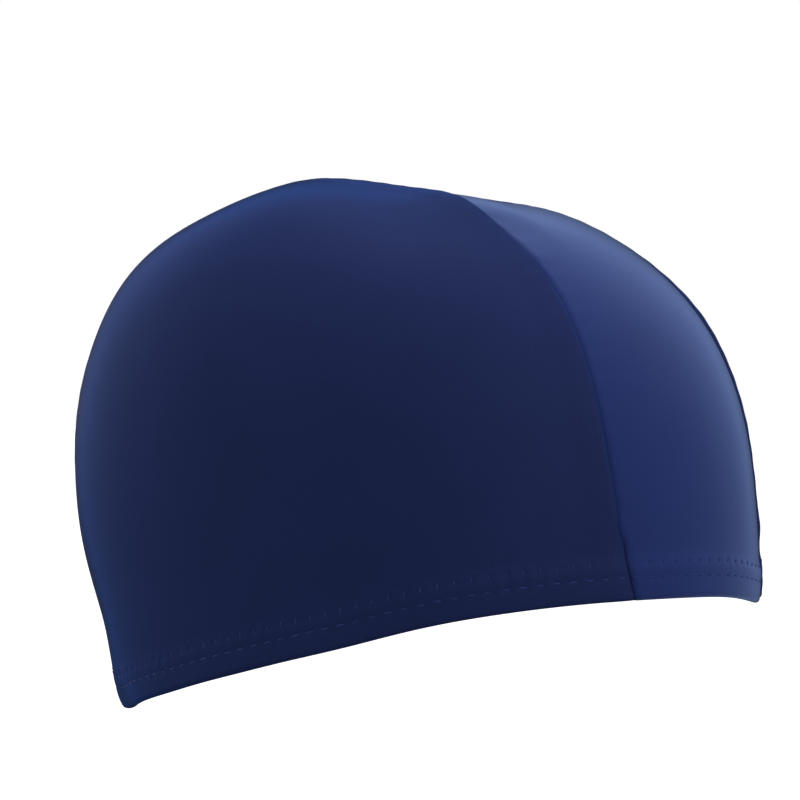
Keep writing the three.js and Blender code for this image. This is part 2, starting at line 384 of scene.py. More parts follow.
# %% Depths of the cloth
PLY = 1.1                      # the cloth as worn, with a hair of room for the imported 1.2
HALF_PLY = PLY / 2.0
OUTER_DEPTH = 0.6              # the outer ply's middle below the dome's face
INNER_DEPTH = 1.8              # the turned-up ply's middle
HEM_DEPTH = 11.0
FOLD_RADIUS = (INNER_DEPTH - OUTER_DEPTH) / 2.0
FOLD_LEVEL = HALF_PLY + FOLD_RADIUS
STITCH_RISES = (5.6, 8.9)
STITCH_GROOVE = 0.1
STITCH_GROOVE_HALF = 0.6
HEM_STEP = 0.8                 # the two plies stand out under the single one by this
HEM_STEP_RISES = (7.8, 11.6)   # from just over the upper stitch row
HEM_FLARE = 0.3                # and the folded edge a little more
HEM_FRONT_WIDTH = 26.0         # degrees: round the ears and the nape the hem is pulled flat,
HEM_SHARE_BEHIND = 0.25        # so that only this share of the step and the flare is left
VALLEY_DEPTH = 0.7             # at the hem, a side panel dips beside the seam
VALLEY_WIDTH = 4.0
VALLEY_RISES = (11.0, 20.0)
SEAM_DROP = 0.85               # the valley at a seam, and how far from it the cloth rolls in
SEAM_ROLL = 1.5
PUCKER_LENGTH = 6.5            # puckers follow one another along a seam
PUCKER_HEIGHT = 0.08
PUCKER_FADE = 4.0              # and die away from it
PUCKER_START = (0.3, 2.0)      # they begin outside the valley
PUCKER_UNEVENNESS = 0.8
PUCKER_UNEVEN_OVER = 11.0
SHOULDER_RISE = 1.8            # a side panel is at its highest from here
SHOULDER_FALL = (3.5, 9.0)     # to there, away from the seam
STRIP_FALL = (2.0, 15.0)       # the centre panel comes down to the seam over this
LEFT_SHOULDER = (
    # level, how far the side panel stands out and the centre panel lies in (mm)
    (8.0, 0.9, 0.7),
    (30.0, 1.6, 1.3),
    (45.0, 1.8, 1.5),
    (60.0, 1.6, 1.4),
    (85.0, 1.0, 0.8),
    (97.0, 0.3, 0.4),
    (106.0, 0.0, 0.0),
)
CREST_DROP = 1.0               # the centre panel behind the right seam's crest
CREST_LEVELS = (100.0, 112.0)
BACK_SHOULDER = 0.35           # on the right, and on the left behind the crown
SHOULDER_ENDS = (-40.0, 10.0)  # y over which the left one comes down to that


def hem_lift(points):
    """How far the hem stands out below the single ply: most at the forehead."""
    rise = rise_of(points)
    from_front = (np.cos(compass_of(points)) - 1.0) / math.radians(HEM_FRONT_WIDTH) ** 2
    share = HEM_SHARE_BEHIND + (1.0 - HEM_SHARE_BEHIND) * np.exp(from_front)
    step = HEM_STEP * (1.0 - smooth_step(*HEM_STEP_RISES, rise))
    return share * (step + HEM_FLARE * np.clip(1.0 - rise / HEM_DEPTH, 0.0, 1.0) ** 2)


def sink(points, depth):
    """Dome points moved to a depth below the cloth's face as worn."""
    lift = worn_lift(points) + hem_lift(points)
    return points + outward_at(points) * (lift - depth)[:, None]


# %% [markdown]
# The roll, the puckers and the shoulders need to know how far each point lies from the nearer
# seam. Each seam's arch is cut into close points, and a tree finds the nearest one quickly.

# %% The seams' lines, to measure how far a point lies from one
SEAM_TREE_POINTS = 1800


def seam_tree(side):
    """A seam's line, as a tree to find the nearest of its points and the way along to each."""
    points = on_arch(float(side), 0.0, np.linspace(*seam_ends(side, -2.0), SEAM_TREE_POINTS))
    steps = np.linalg.norm(np.diff(points, axis=0), axis=1)
    tree = kdtree.KDTree(len(points))
    for number, point in enumerate(points):
        tree.insert(point, number)
    tree.balance()
    return tree, np.concatenate([[0.0], np.cumsum(steps)])


SEAM_TREES = {side: seam_tree(side) for side in (-1, 1)}
print("each seam is", round(SEAM_TREES[1][1][-1]), "mm long")


def seam_distance(points):
    """For each point, its distance from the nearer seam and the way along that seam."""
    away = np.empty(len(points))
    along = np.empty(len(points))
    for number, point in enumerate(points):
        tree, ways = SEAM_TREES[1 if point[0] > 0.0 else -1]
        _, index, distance = tree.find(point)
        away[number] = distance
        along[number] = ways[index]
    return away, along


def on_side_panel(points):
    return np.abs(points[:, 0]) > centre_half_at(points)


def shoulder(points, away):
    """A side panel stands out over its seam's allowance; the centre panel lies lower there."""
    level = level_of(points)
    levels, heights, drops = np.array(LEFT_SHOULDER).T
    front_left = np.where(points[:, 0] > 0.0, 1.0 - smooth_step(*SHOULDER_ENDS, points[:, 1]), 0.0)
    height = BACK_SHOULDER + front_left * (np.interp(level, levels, heights) - BACK_SHOULDER)
    drop = np.where(
        points[:, 0] > 0.0, front_left * np.interp(level, levels, drops),
        CREST_DROP * smooth_step(*CREST_LEVELS, level))
    side = smooth_step(0.0, SHOULDER_RISE, away) * (1.0 - smooth_step(*SHOULDER_FALL, away))
    strip = 1.0 - smooth_step(*STRIP_FALL, away)
    return np.where(on_side_panel(points), height * side, -drop * strip)


def face_relief(points):
    """The outer face's own relief: shoulder, grooves, valley at the hem, roll and puckers."""
    rise = rise_of(points)
    away, along = seam_distance(points)
    lift = shoulder(points, away)
    for row in STITCH_RISES:
        lift -= STITCH_GROOVE * np.exp(-((rise - row) / STITCH_GROOVE_HALF) ** 2)
    valley = VALLEY_DEPTH * np.exp(-(away / VALLEY_WIDTH) ** 2)
    lift -= np.where(on_side_panel(points), valley * smooth_step(*VALLEY_RISES[::-1], rise), 0.0)
    roll = np.clip(1.0 - away / SEAM_ROLL, 0.0, 1.0)
    lift -= SEAM_DROP * (1.0 - np.sqrt(1.0 - roll ** 2))
    fade = np.exp(-away / PUCKER_FADE)
    uneven = PUCKER_UNEVENNESS * np.sin(along / PUCKER_UNEVEN_OVER)
    wave = np.sin(2.0 * math.pi * along / PUCKER_LENGTH + uneven)
    lift += PUCKER_HEIGHT * wave * fade * smooth_step(*PUCKER_START, away)
    return lift


# %% [markdown]
# ## A sheet of knit
# Each panel starts as a flat bmesh grid, like the cut cloth. Its points are then laid on the
# dome: the grid's first rows become the turned-up ply and the fold, and the rest the face.
# Two UV maps keep millimetres: one each point's place in the flat cloth, so that the knit runs
# with the cloth; the other its way round the hem and rise above it, for the dimples. A
# Solidify modifier gives the ply its thickness. Cloth simulation would need a head to press
# against and would lose the exact seams, so it isn't used here.

# %% Rows of the hem and a sheet from a grid
ROW_STEP = 0.55
FOLD_ROWS = 9


def hem_rows():
    """Rise and depth of the cloth's middle, from the turned-up edge round the fold and up."""
    step = ROW_STEP
    inner = np.arange(HEM_DEPTH - 0.5, FOLD_LEVEL + 0.3, -2.0 * step)
    turn = np.linspace(0.0, math.pi, FOLD_ROWS)
    outer = np.append(np.arange(FOLD_LEVEL + step, HEM_DEPTH - step / 2.0, step), HEM_DEPTH)
    middle = (OUTER_DEPTH + INNER_DEPTH) / 2.0
    rises = np.concatenate([inner, FOLD_LEVEL - FOLD_RADIUS * np.sin(turn), outer])
    depths = np.concatenate([
        np.full(len(inner), INNER_DEPTH),
        middle + FOLD_RADIUS * np.cos(turn),
        np.full(len(outer), OUTER_DEPTH),
    ])
    return rises, depths


END_DENSITY = 0.72


def denser_ends(share):
    """Moves evenly spaced shares towards both ends, where the seams need finer cloth."""
    return share - END_DENSITY * np.sin(2.0 * math.pi * share) / (2.0 * math.pi)


def flat_places(points):
    """Each grid point's place in the flat cloth: distances across and along, in mm."""
    across = np.linalg.norm(np.diff(points, axis=1), axis=2)
    along = np.linalg.norm(np.diff(points, axis=0), axis=2)
    u = np.concatenate([np.zeros((len(points), 1)), np.cumsum(across, axis=1)], axis=1)
    u -= u[:, -1:] / 2.0
    v = np.concatenate([[0.0], np.cumsum(along[:, along.shape[1] // 2])])
    return np.stack([u, np.broadcast_to(v[:, None], u.shape)], axis=2)


def hem_places(points):
    """Each grid point's way round the hem and its rise above it, in mm."""
    flat = points.reshape(-1, 3)
    along = np.interp(compass_of(flat), hem_compasses, hem_along)
    return np.stack([along, rise_of(flat)], axis=1).reshape(*points.shape[:2], 2)


def link_mesh(name, bm):
    for face in bm.faces:
        face.smooth = True
    mesh = bpy.data.meshes.new(name)
    bm.to_mesh(mesh)
    bm.free()
    piece = bpy.data.objects.new(name, mesh)
    bpy.context.scene.collection.objects.link(piece)
    return piece


def sheet_from(name, spots, maps):
    """A bmesh grid laid on rows and columns of places, with its UV maps."""
    rows, columns = spots.shape[0] - 1, spots.shape[1] - 1
    bm = bmesh.new()
    bmesh.ops.create_grid(bm, x_segments=columns, y_segments=rows, size=1.0)
    cells = [
        (round((v.co.y + 1.0) / 2.0 * rows), round((v.co.x + 1.0) / 2.0 * columns))
        for v in bm.verts
    ]
    for vertex, cell in zip(bm.verts, cells):
        vertex.co = spots[cell] * MM
    bm.verts.index_update()
    for map_name, places in maps.items():
        layer = bm.loops.layers.uv.new(map_name)
        for face in bm.faces:
            for loop in face.loops:
                loop[layer].uv = places[cells[loop.vert.index]]
    return link_mesh(name, bm)


def cloth_sheet(name, points, depths):
    """A ply of knit whose middle lies at these depths below these dome points."""
    flat = points.reshape(-1, 3)
    depth = depths.reshape(-1)
    outer = np.clip((INNER_DEPTH - depth) / (INNER_DEPTH - OUTER_DEPTH), 0.0, 1.0)
    spots = sink(flat, depth - face_relief(flat) * outer).reshape(points.shape)
    piece = sheet_from(name, spots, {"knit_mm": flat_places(spots), "hem_mm": hem_places(points)})
    wall = piece.modifiers.new("ply", "SOLIDIFY")
    wall.thickness = PLY * MM
    wall.offset = 0.0
    wall.use_quality_normals = True
    return piece


print("hem rows:", len(hem_rows()[0]))

# %% [markdown]
# ## The side panels
# A side panel is cut like a D: its straight edge is the hem and its round edge the seam. The
# grid's two upright sides follow the seam's legs and its top the stretch over the crown. The
# points between are a smooth blend of the four edges, thrown onto the dome.

# %% Side panels
LEG_SHARE = 0.3                # the part of the arch that each leg takes
SEAM_ROOM = 0.05               # half the gap between two panels in the valley


def side_panel(side, name, columns, rows):
    rises, depths = hem_rows()
    shift = side * SEAM_ROOM
    over = denser_ends(np.linspace(0.0, 1.0, columns + 1))
    ends = [
        compass_of(on_arch(side, shift, swing_at_rise(side, shift, rises, nape)))
        for nape in (False, True)
    ]
    compass = ends[0][:, None] + (ends[1] - ends[0])[:, None] * over
    hem_part = on_hem_line(compass.ravel(), np.repeat(rises, columns + 1))
    hem_part = hem_part.reshape(*compass.shape, 3)
    front, back = seam_ends(side, HEM_DEPTH, shift)

    def seam(share):
        return on_arch(side, shift, front + (back - front) * np.asarray(share, float))

    base = hem_part[-1]
    crown = seam(LEG_SHARE + (1.0 - 2.0 * LEG_SHARE) * over)
    up = denser_ends(np.linspace(0.0, 1.0, rows + 2 - len(rises)))[1:]
    left = seam(LEG_SHARE * up)[:, None]
    right = seam(1.0 - LEG_SHARE * up)[:, None]
    u, o = up[:, None, None], over[None, :, None]
    aims = (base * (1 - u) + crown * u + left * (1 - o) + right * o
            - base[0] * (1 - o) * (1 - u) - base[-1] * o * (1 - u)
            - crown[0] * (1 - o) * u - crown[-1] * o * u)
    upper = through_onto_dome(aims.reshape(-1, 3)).reshape(aims.shape)
    points = np.concatenate([hem_part, upper])
    depth = np.concatenate([depths, np.full(len(upper), OUTER_DEPTH)])
    return cloth_sheet(name, points, np.repeat(depth, columns + 1))


def sheet_area(piece):
    return sum(polygon.area for polygon in piece.data.polygons)


SIDE_GRID = ((160, 146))
side_panels = {}
for side, name in ((-1, "right"), (1, "left")):
    side_panels[side] = side_panel(side, f"side_cloth_{name}", *SIDE_GRID)
    print(name, "side cloth", round(sheet_area(side_panels[side]) * 1e6), "square mm as worn")
side_panels[1].data.flip_normals()

# %% [markdown]
# ## The centre panel
# One long strip from hem to hem. Its grid rows lie across the head, from one seam to the
# other, and both of its ends are folded like the side panels' hems.

# %% Centre panel
def centre_panel(name, columns, rows):
    rises, depths = hem_rows()
    across = 2.0 * denser_ends(np.linspace(0.0, 1.0, columns + 1)) - 1.0

    def hem_swings(nape):
        every = np.tile(across, len(rises))
        swing = swing_at_rise(every, -every * SEAM_ROOM, np.repeat(rises, columns + 1), nape)
        return swing.reshape(len(rises), columns + 1)

    front, back = hem_swings(False), hem_swings(True)[::-1]
    between = np.linspace(0.0, 1.0, rows + 3 - 2 * len(rises))[1:-1, None]
    swings = np.concatenate([front, front[-1] + (back[0] - front[-1]) * between, back])
    every = np.tile(across, len(swings))
    points = on_arch(every, -every * SEAM_ROOM, swings.ravel()).reshape(*swings.shape, 3)
    depth = np.concatenate([depths, np.full(len(between), OUTER_DEPTH), depths[::-1]])
    return cloth_sheet(name, points, np.repeat(depth, columns + 1))


CENTRE_GRID = ((80, 320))
centre_cloth = centre_panel("centre_cloth", *CENTRE_GRID)
print("centre cloth", round(sheet_area(centre_cloth) * 1e6), "square mm as worn")

# %% [markdown]
# ## The allowances inside
# Inside the cap, each seam leaves a band of about 6 mm: both raw edges, overlocked together
# and pressed to one side. It is a flattened, soft-edged band that follows the seam's arch. A
# bmesh grid gives its length and the way round its section, and the two long edges meet.

# %% Seam allowances
ALLOWANCE_HALF = 3.0
ALLOWANCE_OUT = 1.55           # its outer side's depth below the dome's face
ALLOWANCE_THICK = 1.35
ALLOWANCE_SOFTNESS = 0.55      # 1 makes its section an oval, 0 a box
ALLOWANCE_RISE = HEM_DEPTH + 0.8
ALLOWANCE_ROWS = 260
SECTION_POINTS = 16


def allowance_section():
    """(sideways, depth) round the band's section, a flat oval."""
    turn = np.linspace(0.0, 2.0 * math.pi, SECTION_POINTS + 1)

    def rounded(wave):
        return np.sign(wave) * np.abs(wave) ** ALLOWANCE_SOFTNESS

    half_thick = ALLOWANCE_THICK / 2.0
    sideways = ALLOWANCE_HALF * rounded(np.cos(turn))
    return sideways, ALLOWANCE_OUT + half_thick + half_thick * rounded(np.sin(turn))


def allowance(side, name, rows):
    sideways, depth = allowance_section()
    ends = seam_ends(side, ALLOWANCE_RISE)
    swings = np.repeat(np.linspace(*ends, rows + 1), SECTION_POINTS + 1)
    points = on_arch(side, np.tile(sideways, rows + 1), swings)
    spots = sink(points, np.tile(depth, rows + 1)).reshape(rows + 1, SECTION_POINTS + 1, 3)
    piece = sheet_from(name, spots, {"knit_mm": flat_places(spots)})
    close_band(piece)
    return piece


def close_band(piece):
    """Joins the grid's two long edges and caps its ends."""
    bm = bmesh.new()
    bm.from_mesh(piece.data)
    bmesh.ops.remove_doubles(bm, verts=bm.verts[:], dist=1e-6)
    edges = [edge for edge in bm.edges if edge.is_boundary]
    bmesh.ops.holes_fill(bm, edges=edges, sides=0)
    bmesh.ops.recalc_face_normals(bm, faces=bm.faces[:])
    bm.to_mesh(piece.data)
    bm.free()


allowances = {}
for side, name in ((-1, "right"), (1, "left")):
    allowances[side] = allowance(side, f"allowance_{name}", ALLOWANCE_ROWS)
    print(name, "allowance", len(allowances[side].data.polygons), "faces")

# %% [markdown]
# ## Threads
# The hem's two outer rows are short stitches, each a thread that dips into the cloth at both
# ends: lying along the hem in the lower row, and nearly upright in the upper row, where the
# needle thread is drawn over to the next stitch. A squashed sphere of a few dozen faces is
# enough for one. Inside, the looper thread runs to and fro between the rows, and on each
# allowance the overlock threads wrap the edge: those are thin tubes along a path.

# %% Coverstitch outside
THREAD = 0.3
STITCH_WIDTH = 0.5             # two yarns side by side, pressed flat
STITCH_OUT = -0.12             # how far a stitch's middle stands out, in threads
STITCH_COUNT = round(hem_length / 4.0)
STITCH_PITCH = hem_length / STITCH_COUNT
STITCH_SIDES = 8               # of the squashed sphere, and its rings
STITCH_RINGS = 6
PULLS = (0.8, 1.1)             # each stitch's share of its length and of its width
LOWER_STITCH = 2.1             # length along the hem
UPPER_STITCH = 1.7
UPPER_LEAN = math.radians(80.0)


WAY_STEP = 0.3                 # mm along the hem, to find the way along it


def around_hem(rise, count):
    """Evenly spaced places round the whole hem: points, the way along and the way out."""
    def at(along):
        return on_hem_line(np.interp(along, hem_along, hem_compasses), rise)

    spots = np.arange(count) * hem_length / count
    points = at(spots)
    return points, unit(at(spots + WAY_STEP) - points), outward_at(points)


def lay_stitches(name, points, ways, outs, length, width):
    """Sunken threads at points, each lying along its way, no two pulled quite alike."""
    bm = bmesh.new()
    spots = sink(points, -face_relief(points) - THREAD * STITCH_OUT)
    pulls = np.random.default_rng(len(spots)).uniform(*PULLS, (len(spots), 2))
    for spot, along, outward, pull in zip(spots, ways, outs, pulls):
        side = np.cross(outward, along)
        turn = Matrix((along, side, np.cross(along, side))).transposed().to_4x4()
        half = (length / 2 * pull[0] * MM, width / 2 * pull[1] * MM, THREAD / 2 * pull[1] * MM)
        size = Matrix.Diagonal((*half, 1.0))
        place = Matrix.Translation(Vector(spot) * MM) @ turn @ size
        bmesh.ops.create_uvsphere(
            bm, u_segments=STITCH_SIDES, v_segments=STITCH_RINGS, radius=1.0,
            matrix=place @ Matrix.Rotation(math.pi / 2, 4, "Y"))
    print(name, len(spots), "stitches")
    return link_mesh(name, bm)


def coverstitch_row(name, rise, lean, length):
    """A row round the hem. Lean is how far a stitch is turned from along the hem to upright."""
    points, way, out = around_hem(rise, STITCH_COUNT)
    upright = np.cross(out, way)
    leaning = way * math.cos(lean) + upright * math.sin(lean)
    return lay_stitches(name, points, leaning, out, length, STITCH_WIDTH)


stitch_rows = [
    coverstitch_row("stitches_lower", STITCH_RISES[0], 0.0, LOWER_STITCH),
    coverstitch_row("stitches_upper", STITCH_RISES[1], UPPER_LEAN, UPPER_STITCH),
]

# %% [markdown]
# In the valley of each seam, the needle thread shows as small specks across the join.

# %% Stitches in the seams
SEAM_STITCH_PITCH = 2.6
SEAM_STITCH = 1.1              # length
SEAM_STITCH_LEAN = math.radians(35.0)
SEAM_STITCH_RISE = 1.5         # the first one's, above the folded edge


def seam_length(side):
    return SEAM_TREES[side][1][-1]


def seam_stitches(side, name):
    count = round(seam_length(side) / SEAM_STITCH_PITCH)
    swings = np.linspace(*seam_ends(side, SEAM_STITCH_RISE), count)
    points = on_arch(side, 0.0, swings)
    way = unit(on_arch(side, 0.0, swings + 0.002) - points)
    out = outward_at(points)
    across = np.cross(out, way)
    leaning = across * math.cos(SEAM_STITCH_LEAN) + way * math.sin(SEAM_STITCH_LEAN)
    return lay_stitches(name, points, leaning, out, SEAM_STITCH, THREAD)


for side, name in ((-1, "right"), (1, "left")):
    stitch_rows.append(seam_stitches(side, f"seam_stitches_{name}"))

# %% [markdown]
# The threads inside the cap are seen only from below, so they can be plain: one long path of
# points each, with a thin round section, made into a mesh at once.

# %% Threads along a path
def thread_tube(name, paths, thickness, closed):
    """Thin tubes through each path's points, as one mesh."""
    curve = bpy.data.curves.new(name, "CURVE")
    curve.dimensions = "3D"
    curve.bevel_depth = thickness / 2.0 * MM
    curve.bevel_resolution = 1
    for path in paths:
        spline = curve.splines.new("POLY")
        spline.points.add(len(path) - 1)
        for point, spot in zip(spline.points, path):
            point.co = (*(spot * MM), 1.0)
        spline.use_cyclic_u = closed
    holder = bpy.data.objects.new(name + "_path", curve)
    bpy.context.scene.collection.objects.link(holder)
    graph = bpy.context.evaluated_depsgraph_get()
    mesh = bpy.data.meshes.new_from_object(holder.evaluated_get(graph))
    mesh.name = name
    bpy.data.objects.remove(holder)
    bpy.data.curves.remove(curve)
    for polygon in mesh.polygons:
        polygon.use_smooth = True
    piece = bpy.data.objects.new(name, mesh)
    bpy.context.scene.collection.objects.link(piece)
    return piece


INSIDE_DEPTH = INNER_DEPTH + HALF_PLY
LOOPER_POINTS = 6              # a stitch
LOOPER_SLACK = 0.9             # how far it bows out along the hem
OVERLOCK_PITCH = 2.4
OVERLOCK_RISE = HEM_DEPTH + 1.5
BAND_DEPTH = ALLOWANCE_OUT + ALLOWANCE_THICK
OVERLOCK_TURNS = (
    # across the band, depth (mm) at the four turns of one loop
    (-2.3, BAND_DEPTH + 0.05),             # at the needle line
    (1.2, BAND_DEPTH + 0.12),
    (3.05, BAND_DEPTH - 0.5),              # round the raw edges
    (1.2, BAND_DEPTH + 0.12),
)
NEEDLE_DEPTH = BAND_DEPTH + 0.1
NEEDLE_POINTS = 300


def looper_path():
    """The looper's way: to and fro between the two rows on the hem's inner face."""
    total = STITCH_COUNT * LOOPER_POINTS
    turn = np.arange(total) / LOOPER_POINTS * 2.0 * math.pi
    lower, way, _ = around_hem(STITCH_RISES[0], total)
    upper, _, _ = around_hem(STITCH_RISES[1], total)
    share = (0.5 + 0.5 * np.sin(turn))[:, None]
    slack = LOOPER_SLACK * np.sin(2.0 * turn)
    points = lower * (1 - share) + upper * share + way * slack[:, None]
    return sink(points, np.full(total, INSIDE_DEPTH + THREAD * 0.1))


def overlock_paths(side):
    """Loops across the allowance and round its free edge, and the straight needle line."""
    front, back = seam_ends(side, OVERLOCK_RISE)
    loops = int((seam_length(side) - 2 * OVERLOCK_RISE) / OVERLOCK_PITCH)
    count = loops * len(OVERLOCK_TURNS)
    swings = front + (back - front) * np.arange(count) / count
    sideways, depth = np.tile(np.array(OVERLOCK_TURNS), (loops, 1)).T
    wrap = sink(on_arch(side, sideways * side, swings), depth)
    needle_line = OVERLOCK_TURNS[0][0] * side
    needle = on_arch(side, needle_line, np.linspace(front, back, NEEDLE_POINTS))
    return [wrap, sink(needle, np.full(NEEDLE_POINTS, NEEDLE_DEPTH))]


looper = thread_tube("looper_thread", [looper_path()], THREAD * 0.9, True)
overlocks = {
    side: thread_tube(f"overlock_{name}", overlock_paths(side), THREAD * 0.8, False)
    for side, name in ((-1, "right"), (1, "left"))
}
print("looper", len(looper.data.polygons), "faces")

# %% [markdown]
# ## Colours
# Colours are written as sRGB hex values, and one function turns them to the linear values that
# the shader works in. The two knits' dyes and sheens were worked out together with the lamps'
# powers, as told at the soft boxes. One more function adds a node, with its settings and links.

# %% Helpers for materials
def linear(hex_colour):
    values = []
    for start in (1, 3, 5):
        share = int(hex_colour[start:start + 2], 16) / 255.0
        values.append(share / 12.92 if share <= 0.04045 else ((share + 0.055) / 1.055) ** 2.4)
    return (*values, 1.0)


def add_node(material, kind, settings=None, inputs=None):
    """Adds a node; an input given as a socket is linked, any other value is set."""
    node = material.node_tree.nodes.new(kind)
    for key, value in (settings or {}).items():
        setattr(node, key, value)
    for key, value in (inputs or {}).items():
        if isinstance(value, bpy.types.NodeSocket):
            material.node_tree.links.new(value, node.inputs[key])
        else:
            node.inputs[key].default_value = value
    return node


def new_material(name):
    material = bpy.data.materials.new(name)
    material.use_nodes = True
    material.node_tree.nodes.clear()
    return material


# %% [markdown]
# ## Polyester and elastane knit
# A warp knit with fine, even stitches: smooth to the hand, with a soft satin sheen where the
# cloth turns away. Seen nearly along the cloth, its loops shade one another: that shade is
# painted in, with the colour and the sheen darkened towards the rim. Dyed polyester is deep and
# even, so the colour hardly varies. The stitches are about 0.4 mm apart on the real cloth. They
# are drawn 0.8 mm apart, as coarse as they need to be to show at all, as low V-shaped bumps in
# the flat cloth's millimetres. Along the hem each stitch draws a small upright dimple, which
# follows the hem's own millimetres.

# %% Heights of the knit and the stitch dimples
WALE = 0.8                     # across one column of stitches, drawn twice as coarse as real
COURSE = 0.7                   # along one row of stitches
KNIT_RELIEF = 0.01             # mm
LOOP_SHARE = 0.35              # of that relief along a column
LOOP_SLANT = 1.1               # how steeply a loop's two legs lean
DIMPLE_REACHES = (1.1, 2.2)    # mm above and below each stitch row
PULL_SCALE = 70.0              # patches of about 14 mm where the thread is pulled tighter


def knit_height(material, dimple_relief):
    """The cloth's fine relief in mm."""
    def maths(operation, first, second=0.0):
        return add_node(
            material, "ShaderNodeMath", {"operation": operation}, {0: first, 1: second}).outputs[0]

    def places(map_name):
        place = add_node(material, "ShaderNodeUVMap", {"uv_map": map_name})
        return add_node(material, "ShaderNodeSeparateXYZ", inputs={0: place.outputs[0]}).outputs

    across, along = places("knit_mm")[:2]
    inside = maths("FRACT", maths("DIVIDE", across, WALE))
    from_middle = maths("ABSOLUTE", maths("SUBTRACT", inside, 0.5))
    slant = maths("MULTIPLY", from_middle, LOOP_SLANT)
    slanted = maths("ADD", maths("DIVIDE", along, COURSE), slant)
    loop = maths("SINE", maths("MULTIPLY", slanted, 2.0 * math.pi))
    ridge = maths("SINE", maths("MULTIPLY", inside, math.pi))
    both = maths("ADD", ridge, maths("MULTIPLY", loop, LOOP_SHARE))
    height = maths("MULTIPLY", both, KNIT_RELIEF)

    way, rise = places("hem_mm")[:2]
    place = add_node(material, "ShaderNodeTexCoord")
    patches = add_node(
        material, "ShaderNodeTexNoise", inputs={
            "Vector": place.outputs["Object"], "Scale": PULL_SCALE})
    pull = add_node(
        material, "ShaderNodeMapRange", inputs={
            "Value": patches.outputs[0], "From Min": 0.35, "From Max": 0.65})
    wave = maths("COSINE", maths("MULTIPLY", way, 2.0 * math.pi / STITCH_PITCH))
    wave = maths("MULTIPLY", wave, pull.outputs[0])
    for row, reach in zip(STITCH_RISES, DIMPLE_REACHES):
        away = maths("DIVIDE", maths("ABSOLUTE", maths("SUBTRACT", rise, row)), reach)
        near = maths("MAXIMUM", maths("SUBTRACT", 1.0, away), 0.0)
        dimple = maths("MULTIPLY", maths("MULTIPLY", wave, near), -dimple_relief)
        height = maths("ADD", height, dimple)
    return height


# %% [markdown]
# The knit's shader is one principled surface: two close shades of dye in soft clouds, a bluish
# sheen, a painted shade that darkens the rim, and the heights above as its bump.

# %% Knit material
KNIT_GLOSS = 0.02              # a matt filament: hardly any white shine
KNIT_ROUGHNESS = 0.65
SHEEN_ROUGHNESS = 0.4
CLOUD_SCALE = 28.0             # the dye's two shades in soft patches of about 35 mm
RIM_FROM = 0.74                # how far turned away the rim's painted shade begins and is full
RIM_TO = 0.97
RIM_SHARE = 0.3                # down to this share of the colour and the sheen


def knit(name, deep, light, sheen, sheen_tint, dimple_relief):
    material = new_material(name)
    # The rim's shade is painted: as the cloth turns from the view, its colour is mixed towards
    # black and its sheen weakened.
    turned_away = add_node(material, "ShaderNodeLayerWeight", inputs={"Blend": 0.5})
    painted_rim_shade_share = add_node(
        material, "ShaderNodeMapRange", {"interpolation_type": "SMOOTHSTEP"}, {
            "Value": turned_away.outputs["Facing"], "From Min": RIM_FROM, "From Max": RIM_TO,
            "To Min": 1.0, "To Max": RIM_SHARE})
    # sheen weakened at the rim: painted shade
    sheen_under_painted_rim_shade = add_node(
        material, "ShaderNodeMath", {"operation": "MULTIPLY"}, {0: painted_rim_shade_share.outputs[0], 1: sheen})
    place = add_node(material, "ShaderNodeTexCoord")
    clouds = add_node(
        material, "ShaderNodeTexNoise", inputs={
            "Vector": place.outputs["Object"], "Scale": CLOUD_SCALE, "Detail": 3.0,
            "Roughness": 0.55})
    shade = add_node(
        material, "ShaderNodeMapRange", inputs={
            "Value": clouds.outputs[0], "From Min": 0.3, "From Max": 0.7})
    colour = add_node(
        material, "ShaderNodeMix", {"data_type": "RGBA"}, {
            0: shade.outputs[0], 6: linear(deep), 7: linear(light)})
    # colour mixed towards black at the rim: painted shade
    colour_under_painted_rim_shade = add_node(
        material, "ShaderNodeMix", {"data_type": "RGBA"}, {
            0: painted_rim_shade_share.outputs[0], 6: linear("#000000"), 7: colour.outputs[2]})
    bump = add_node(
        material, "ShaderNodeBump", inputs={
            "Strength": 1.0, "Distance": MM, "Height": knit_height(material, dimple_relief)})
    shader = add_node(
        material, "ShaderNodeBsdfPrincipled", inputs={
            "Base Color": colour_under_painted_rim_shade.outputs[2], "Roughness": KNIT_ROUGHNESS, "IOR": 1.5,
            "Specular IOR Level": KNIT_GLOSS, "Sheen Weight": sheen_under_painted_rim_shade.outputs[0],
            "Sheen Roughness": SHEEN_ROUGHNESS, "Sheen Tint": linear(sheen_tint),
            "Normal": bump.outputs[0]})
    add_node(material, "ShaderNodeOutputMaterial", inputs={0: shader.outputs[0]})
    return material


# name, two shades of the dye, sheen and its tint, depth of the stitch dimples (mm)
navy_knit = knit("navy_polyester_knit", "#1b2449", "#1d264d", 0.23, "#007fff", 0.13)
blue_knit = knit("blue_polyester_knit", "#1c2858", "#1e2b5e", 0.87, "#a3c1ff", 0.03)
print("knit materials:", navy_knit.name, blue_knit.name)

# %% [markdown]
# ## Polyester thread
# Two fine yarns twisted together, as matt as the cloth. The twist is a slanted stripe of bump
# along the thread. The hem's thread matches the lighter panel, so it shows faintly on the navy
# and hardly at all on the blue.

# %% Thread material
TWIST_SCALE = 900.0            # stripes about 0.7 mm apart, measured along an axis
THREAD_SHEEN = 0.35


